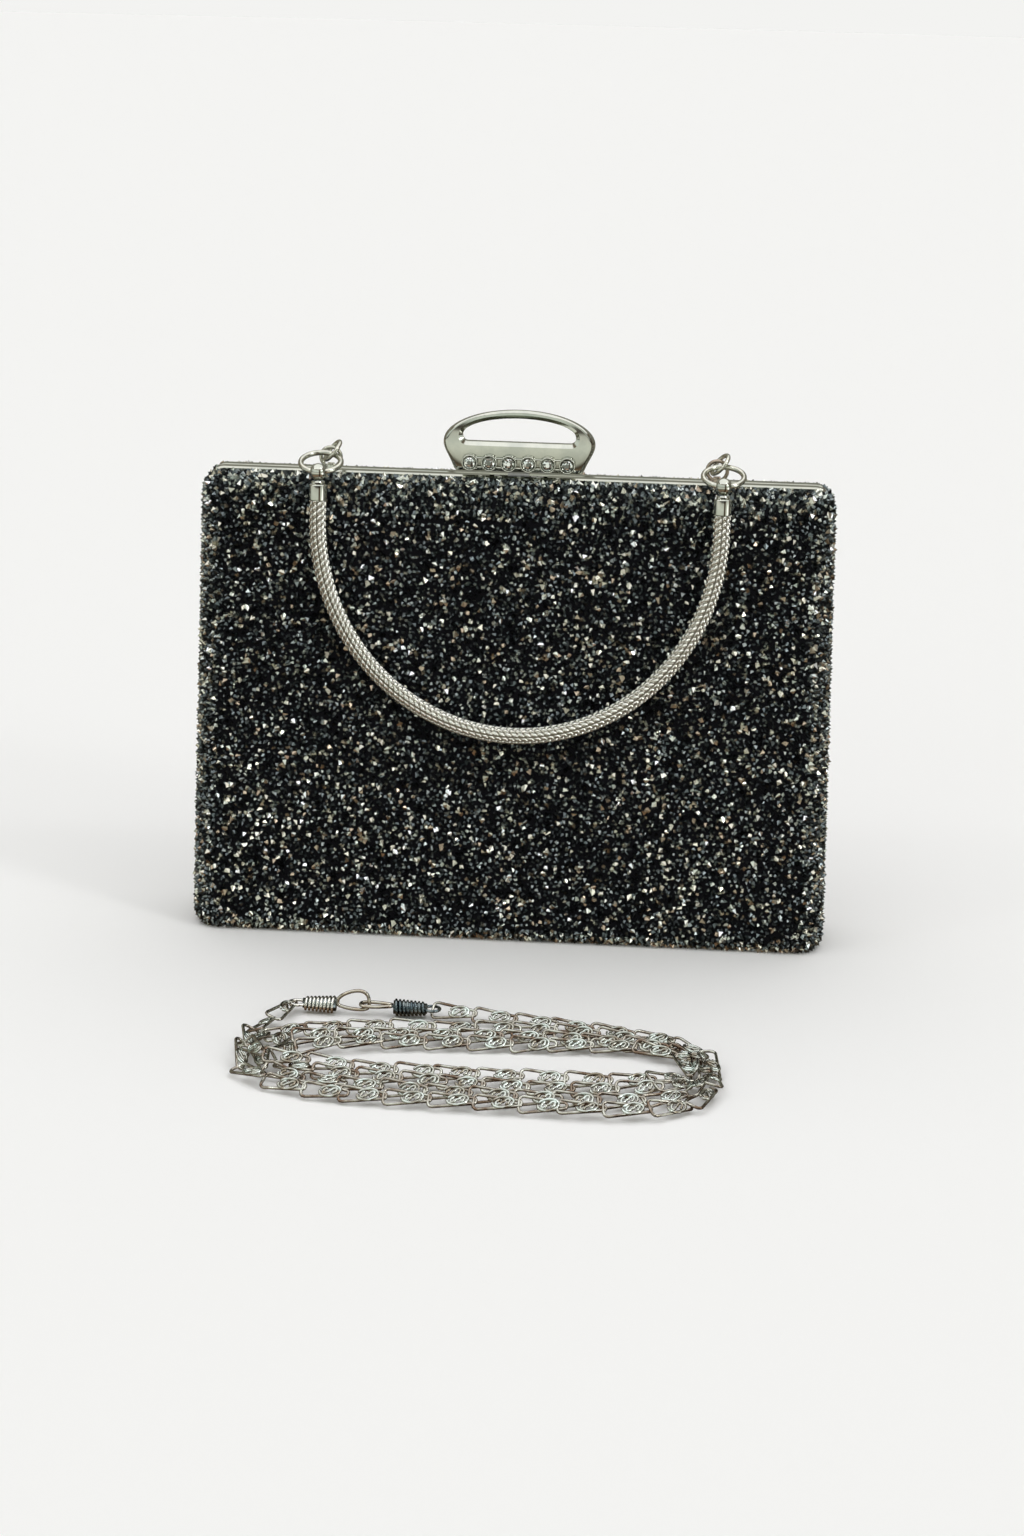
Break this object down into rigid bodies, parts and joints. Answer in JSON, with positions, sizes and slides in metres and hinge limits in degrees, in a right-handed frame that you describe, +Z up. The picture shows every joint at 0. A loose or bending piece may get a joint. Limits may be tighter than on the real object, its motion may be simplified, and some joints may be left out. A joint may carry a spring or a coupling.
{
  "type": "evening bag",
  "caption": "Hard-sided evening clutch covered in small crystals, with a metal frame, a tilting oval clasp, a swinging knitted-metal handle and a loose chain strap.",
  "frame": {"origin": "on the surface that the case stands on, under the middle of the case with its handle", "axes": "+X along the case's width, to the right seen from the front; +Y towards the back; +Z up"},
  "size_m": [0.2144, 0.1812, 0.1786],
  "materials": {
    "crystal_cloth": "dark cloth set all over with small pointed black, grey and champagne crystals",
    "silver_metal": "polished silver plate",
    "hinge_steel": "plain satin steel",
    "fibre_board": "matt fibre board",
    "satin_lining": "black satin",
    "clear_stone": "clear cut glass",
    "knitted_metal": "knitted silver snake mesh",
    "chain_metal": "silver plated wire"
  },
  "bodies": {
    "front_half": {"front_cover": "crystal_cloth", "front_board": "fibre_board", "front_lining": "satin_lining", "front_frame": "silver_metal", "front_hinge_leaf_left": "hinge_steel", "front_hinge_leaf_right": "hinge_steel", "hinge_pin_left": "hinge_steel", "hinge_pin_right": "hinge_steel", "clasp_bracket_left": "hinge_steel", "clasp_bracket_right": "hinge_steel", "clasp_pivot_pin": "hinge_steel", "clasp_spring": "hinge_steel", "handle_lug_left": "silver_metal", "handle_lug_right": "silver_metal"},
    "back_half": {"back_cover": "crystal_cloth", "back_board": "fibre_board", "back_lining": "satin_lining", "back_frame": "silver_metal", "back_hinge_leaf_left": "hinge_steel", "back_hinge_leaf_right": "hinge_steel", "clasp_catch": "hinge_steel", "slip_pocket": "satin_lining"},
    "clasp": {"clasp_ornament": "silver_metal", "clasp_hook": "hinge_steel", "stone_setting": "silver_metal", "clasp_stone_1": "clear_stone", "clasp_stone_2": "clear_stone", "clasp_stone_3": "clear_stone", "clasp_stone_4": "clear_stone", "clasp_stone_5": "clear_stone", "clasp_stone_6": "clear_stone"},
    "links_left": {"small_ring_left": "silver_metal", "large_ring_left": "silver_metal"},
    "links_right": {"small_ring_right": "silver_metal", "large_ring_right": "silver_metal"},
    "handle": {"handle_tube": "knitted_metal", "handle_ball_left": "silver_metal", "handle_ball_right": "silver_metal", "handle_cap_left": "silver_metal", "handle_cap_right": "silver_metal"},
    "strap": {"chain_hank": "chain_metal", "snap_hook_left": "silver_metal", "snap_hook_right": "silver_metal", "snap_barrel_left": "silver_metal", "snap_barrel_right": "silver_metal"}
  },
  "joints": [
    {"name": "case_open", "type": "hinge", "parent": "front_half", "child": "back_half", "pos_m": [0, 0.00319, 0.0019], "axis": [-1, 0, 0], "range_deg": [0, 55]},
    {"name": "clasp_tilt", "type": "hinge", "parent": "front_half", "child": "clasp", "pos_m": [0, 0.00089, 0.1552], "axis": [1, 0, 0], "range_deg": [0, 15], "stiffness_Nm_per_rad": 0.05},
    {"name": "links_left_swing", "type": "hinge", "parent": "front_half", "child": "links_left", "pos_m": [-0.0615, 0.00019, 0.1643], "axis": [-1, 0, 0], "range_deg": [0, 108]},
    {"name": "links_right_swing", "type": "hinge", "parent": "front_half", "child": "links_right", "pos_m": [0.0645, 0.00019, 0.1643], "axis": [-1, 0, 0], "range_deg": [0, 108]},
    {"name": "handle_swing", "type": "hinge", "parent": "links_left", "child": "handle", "pos_m": [-0.0635, -0.01596, 0.15905], "axis": [-1, 0, 0], "range_deg": [0, 170]},
    {"name": "strap_lift", "type": "slide", "parent": "front_half", "child": "strap", "axis": [0, 0, 1], "range_m": [0, 0.2]}
  ],
  "couplings": [
    {"joint": "links_right_swing", "follows": "links_left_swing", "ratio": 1}
  ]
}
